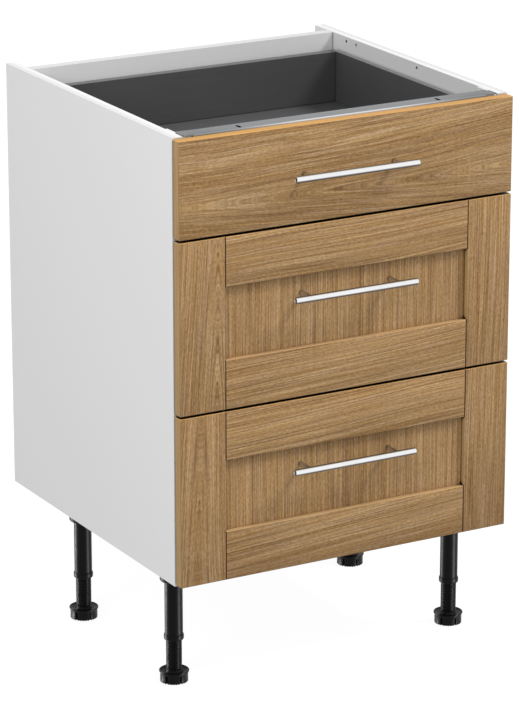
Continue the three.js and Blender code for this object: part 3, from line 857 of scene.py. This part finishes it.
def handle(n, z, mount_y):
    body, slot = f"drawer_{n}", "handle_metal"
    end = [(0, 108.6), (3.55, 108.6), (3.62, 109.75), (3.80, 109.96), (4.35, 110.0), (4.95, 109.62), (5.38, 109.0), (5.5, 108.3)]
    prof = [(r, -h) for r, h in end] + end[::-1]
    bm = turned_bm(prof, 56, lambda a, b, h: (h, BAR_Y + a, z + b))
    adopt(link_object(f"drawer_{n}_bar", bm, HANDLE, 40), body, slot, f"drawer_{n}_handle_bar")
    for side, tag in ((-1, "left"), (1, "right")):
        cap = [(0, 108.5), (3.5, 108.5), (3.5, 108.9), (3.2, 109.2), (1.6, 109.35), (0, 109.4)]
        bm = turned_bm(cap, 40, lambda a, b, h, side=side: (side * h, BAR_Y + a, z + b))
        adopt(link_object(f"drawer_{n}_bar_plug_{tag}", bm, PLUG, 40), body, slot)
    for side, tag in ((-1, "left"), (1, "right")):
        x = side * 80
        far = mount_y - 0.05
        p = [(0, BAR_Y + 2.5), (3.95, BAR_Y + 2.5), (3.95, far - 1.2), (4.0, far - 1.0), (4.0, far - 0.3), (3.9, far), (0, far)]
        bm = turned_bm(p, 40, lambda a, b, h: (x + a, h, z + b))
        adopt(link_object(f"drawer_{n}_post_{tag}", bm, POST, 40), body, slot, f"drawer_{n}_handle_post_{tag}")


def drawer_side(d, side, runner_z, wall_h):
    """Folded double-skin side with a rolled top edge, a flange under the base and the rib that rides in the runner."""
    o, i, t = -3.0, -11.0, 1.2
    pts = [(-14, 8), (-12, 8), (-12, 25), (i + t, 25), (i + t, wall_h - t), (o - t, wall_h - t), (o - t, 25), (o, 25), (o, wall_h), (i, wall_h), (i, 27), (-27, 27), (-27, 25), (-14, 25)]
    radii = [0.3, 0.3, 0.6, 0, 1.2, 1.2, 0, 0, 0.9, 1.1, 1.4, 0.4, 0.4, 0.6]
    outline = [(side * (282.0 + p[0]), runner_z + p[1]) for p in fillet(pts, radii, 5)]
    bm = prism(outline, -0.7, 496.0, lambda u, v, s: (u, s, v))
    return link_object(f"drawer_{d['n']}_steel_side_{'left' if side < 0 else 'right'}", bm, STEEL_SIDE, 40)


for d in DRAWERS:
    n = d["n"]
    body = f"drawer_{n}"
    runner_z = d["bottom"] + d["lift"]
    base_z = runner_z + 27.5
    floor_z = base_z + 16
    wall_h = floor_z + d["inner"] - runner_z
    top = d["bottom"] + d["h"]
    low_z = d["bottom"] + (0.4 if n < 3 else 0.0)      # the sanding takes a little off the edges that meet
    high_z = top - (0.4 if n > 1 else 0.0)

    for side, tag in ((-1, "left"), (1, "right")):
        adopt(drawer_side(d, side, runner_z, wall_h), body, "drawer_steel", f"drawer_{n}_side_{tag}")
        for node in (f"drawer_{n}_cabinet_runner_{tag}", f"drawer_{n}_middle_runner_{tag}"):
            paint(soften(node, 0.35, 2), ZINC)
        inward = "-x" if side > 0 else "x"
        for i, y in enumerate((37, 165, 293, 421)):
            screw_head(f"drawer_{n}_runner_screw_{tag}_{i + 1}", "carcass", "runner_zinc",
                       (side * (282.0 - 1.8), y, runner_z + 17.5), inward, r=3.4, h=1.1)
        # front fixing inside the wall's front end, with its cover
        lo, hi = ordered(side, (262.5, -0.6, floor_z + 6), (271.05, 15, floor_z + min(d["inner"] - 12, 58)))
        adopt(link_object(f"drawer_{n}_front_fixing_{tag}", box_bm(lo, hi, 1.4, 3), DARK_PLASTIC), body, "drawer_steel")

    paint(soften(f"drawer_{n}_base", 0.5), BOARD_DARK)
    paint(soften(f"drawer_{n}_back", 0.5), BACK_BOARD_LIT_TOP)

    if d["slab"]:
        ob = link_object(f"drawer_{n}_oak_front", box_bm((-298.5, FACE_Y, low_z), (298.5, BACK_Y, high_z), 0.9, 2),
                         oak("oak_slab", "x", 3.1, slant=0.035, wave=0.9, bands=1.1, tone=1.05, edge_along="x", heart=(0.806, 0.007, -0.030),
                             painted_shade_range=(0.18, 0.48)))
        adopt(ob, body, "oak_front", f"drawer_{n}_front")
        handle(n, d["bottom"] + d["h"] / 2, FACE_Y)
    else:
        inn = 218.5
        py = (FACE_Y + 9, FACE_Y + 15)
        slot = (py[0] - FIT, py[1] + FIT)
        for side, tag in ((-1, "left"), (1, "right")):
            lo, hi = ordered(side, (inn + FIT / 2, FACE_Y, low_z), (298.5, BACK_Y, high_z))
            glo, ghi = ordered(side, (inn - 2, slot[0], d["bottom"] - 2), (inn + 9.8, slot[1], top + 2))
            m = oak(f"oak_stile_{n}_{tag}", "z", n * 5.3 + side * 1.9, slant=0.012 * side, wave=0.40, bands=0.45, dash=1.2, lines=0.95,
                    tone={(2, -1): 1.03, (2, 1): 1.10, (3, -1): 1.00, (3, 1): 0.99}[n, side],
                    opening=((d["bottom"] + 80.8) / 1000, (top - 80.8) / 1000), painted_shade_range=(0.46, 0.78),
                    heart=(-0.238 if n == 2 else -0.262, 0.005, 0.045) if side < 0 else None)
            ob, tools = frame_piece(f"drawer_{n}_stile_{tag}", lo, hi, (glo, ghi))
            adopt(bake(ob, f"drawer_{n}_oak_stile_{tag}", tools, m), body, "oak_front", f"drawer_{n}_front_stile_{tag}")
        for end in ("top", "bottom"):
            z = (top - 80, high_z) if end == "top" else (low_z, d["bottom"] + 80)
            gz = (z[0] - 2, z[0] + 9.8) if end == "top" else (z[1] - 9.8, z[1] + 2)
            m = oak(f"oak_rail_{n}_{end}", "x", n * 7.7 + (2.2 if end == "top" else 5.9), slant=0.03 if end == "top" else 0.055, wave=0.6, bands=1.0, dash=2.2,
                    tone={(2, "top"): 1.11, (2, "bottom"): 1.07, (3, "top"): 1.13, (3, "bottom"): 0.96}[n, end], edge_along="x",
                    painted_shade_range=(0.54, 0.84) if end == "top" else (0.22, 0.50), top_edge_lighting=(1.11, 0.938, 0.622) if end == "top" else (0.87, 0.87, 0.96))
            ob, tools = frame_piece(
                f"drawer_{n}_rail_{end}", (-inn + FIT / 2, FACE_Y, z[0]), (inn - FIT / 2, BACK_Y, z[1]),
                ((-300, slot[0], gz[0]), (300, slot[1], gz[1])),
                ((-inn - 9.2, py[0], z[0] + 0.3), (inn + 9.2, py[1], z[1] - 0.3)))
            adopt(bake(ob, f"drawer_{n}_oak_rail_{end}", tools, m), body, "oak_front", f"drawer_{n}_front_rail_{end}")
        m = oak(f"oak_panel_{n}", "z", n * 3.9 + 0.7, slant=0.0, wave=0.16, bands=0.30, lines=0.95, dash=1.6, strips=True, tone=1.10 if n == 2 else 1.09, painted_shade_range=(0.26, 0.58))
        ob = link_object(f"drawer_{n}_oak_panel", box_bm((-inn - 9.5, py[0], d["bottom"] + 70.5), (inn + 9.5, py[1], top - 70.5), 0.3, 1), m)
        adopt(ob, body, "oak_front", f"drawer_{n}_front_panel")
        handle(n, top - 111, py[0])

    # soft buffers on the back of each front, at the top corners
    for side, tag in ((-1, "left"), (1, "right")):
        prof = [(0, -0.02), (3.6, -0.02), (3.6, 0.35), (3.1, 0.75), (0, 0.9)]
        bm = turned_bm(prof, 24, lambda a, b, h: (side * 290 + a, BACK_Y + h, top - 9 + b))
        adopt(link_object(f"drawer_{n}_buffer_{tag}", bm, BUFFER), body, "bracket_plastic")

# ----------------------------------------------------------------- stage, light

floor_mat = Nodes("stage_floor")
fx, fy, fz = floor_mat.coords()
cloud = floor_mat.noise(floor_mat.vec(fx, fy, fz), 1.3, 2.0, 0.5)
floor_mat.link(floor_mat.mix(cloud, (0.135, 0.135, 0.135), (0.145, 0.145, 0.145)), floor_mat.bsdf.inputs["Base Color"])
floor_mat.bsdf.inputs["Roughness"].default_value = 0.9
floor_mat.bsdf.inputs["Specular IOR Level"].default_value = 0.1
floor_mat.bsdf.inputs["Emission Color"].default_value = (1, 1, 1, 1)
# a lit table: it throws less light back on the object than the eye sees in it
ray = floor_mat.add("ShaderNodeLightPath")
floor_mat.link(floor_mat.span(ray.outputs["Is Diffuse Ray"], 0.0, 1.0, 0.91, 0.42), floor_mat.bsdf.inputs["Emission Strength"])
bm = bmesh.new()
bmesh.ops.create_circle(bm, cap_ends=True, radius=60.0, segments=96)
floor = link_object("floor", bm, floor_mat.mat)
floor.location.z = -0.0005
floor.visible_glossy = False      # the room is as pale below as above

world = bpy.data.worlds.new("studio")
bpy.context.scene.world = world
world.use_nodes = True
wt = world.node_tree
wt.nodes.clear()
wo = wt.nodes.new("ShaderNodeOutputWorld")
bg = wt.nodes.new("ShaderNodeBackground")
bg.inputs["Color"].default_value = (1, 1, 1, 1)
bg.inputs["Strength"].default_value = 0.57
seen = wt.nodes.new("ShaderNodeBackground")
seen.inputs["Color"].default_value = (1, 1, 1, 1)
seen.inputs["Strength"].default_value = 1.0
lp = wt.nodes.new("ShaderNodeLightPath")
mx = wt.nodes.new("ShaderNodeMixShader")
either = wt.nodes.new("ShaderNodeMath")
either.operation = "MAXIMUM"
wt.links.new(lp.outputs["Is Camera Ray"], either.inputs[0])
wt.links.new(lp.outputs["Is Glossy Ray"], either.inputs[1])
wt.links.new(either.outputs[0], mx.inputs[0])
wt.links.new(bg.outputs[0], mx.inputs[1])
wt.links.new(seen.outputs[0], mx.inputs[2])
wt.links.new(mx.outputs[0], wo.inputs[0])


def sun(name, direction, strength, angle):
    """A broad distant light.  strength is what it adds on a white face turned to it."""
    data = bpy.data.lights.new(name, "SUN")
    data.energy = strength * math.pi
    data.angle = math.radians(angle)
    ob = bpy.data.objects.new(name, data)
    bpy.context.scene.collection.objects.link(ob)
    ob.location = Vector(direction).normalized() * 5
    ob.rotation_mode = "QUATERNION"
    ob.rotation_quaternion = Vector(direction).to_track_quat("Z", "Y")
    return ob


def softbox(name, place, target, size, strength):
    """A square light.  strength is what it adds on a white face at the target, turned to it."""
    d = Vector(place) - Vector(target)
    data = bpy.data.lights.new(name, "AREA")
    data.shape = "SQUARE"
    data.size = size
    data.energy = strength * math.pi * math.pi * d.length_squared
    ob = bpy.data.objects.new(name, data)
    bpy.context.scene.collection.objects.link(ob)
    ob.location = place
    ob.rotation_mode = "QUATERNION"
    ob.rotation_quaternion = d.to_track_quat("Z", "Y")
    return ob


key = sun("key", (0.56, -0.35, 0.75), 0.65, 14.0)
key.visible_glossy = False
fill = softbox("fill", (-2.3, -1.5, 2.1), (0.0, -0.1, 0.6), 1.2, 0.30)
fill.visible_glossy = False
# two upright strips for the black legs alone, which would show nothing of the pale room otherwise; they run down
# past the floor, because an upright tube seen from above mirrors what lies below it
legs_only = bpy.data.collections.new("legs")
for ob in leg_objects:
    legs_only.objects.link(ob)
for tag, place, width, strength in (("right", (1.95, -2.5, -0.4), 0.85, 1.80), ("left", (-2.1, 2.1, -0.4), 0.50, 1.60)):
    strip = softbox("strip_" + tag, place, (0.0, -0.1, -0.4), width, strength)
    strip.data.shape, strip.data.size_y = "RECTANGLE", 3.0
    strip.visible_diffuse = False
    strip.light_linking.receiver_collection = legs_only
    strip.light_linking.blocker_collection = legs_only

# ---------------------------------------------------------------------- camera

cam_data = bpy.data.cameras.new("camera")
cam = bpy.data.objects.new("camera", cam_data)
bpy.context.scene.collection.objects.link(cam)
cam_data.sensor_width = 36.0
cam_data.sensor_fit = "AUTO"
cam_data.lens = 3722.0 * 36.0 / 724.0      # focal length in pixels of the 724-pixel side
cam_data.clip_start, cam_data.clip_end = 0.1, 200.0
yaw, pitch = math.radians(29.475), math.radians(17.598)
look = Vector((math.sin(yaw) * math.cos(pitch), math.cos(yaw) * math.cos(pitch), -math.sin(pitch)))
cam.location = P(-2851.6, -4784.4, 2236.7 + 45.0)
cam.rotation_mode = "QUATERNION"
cam.rotation_quaternion = (-look).to_track_quat("Z", "Y")
bpy.context.scene.camera = cam

scene = bpy.context.scene
scene.view_settings.view_transform = "Standard"
scene.view_settings.look = "None"
scene.view_settings.exposure = 0.0
scene.view_settings.gamma = 1.0
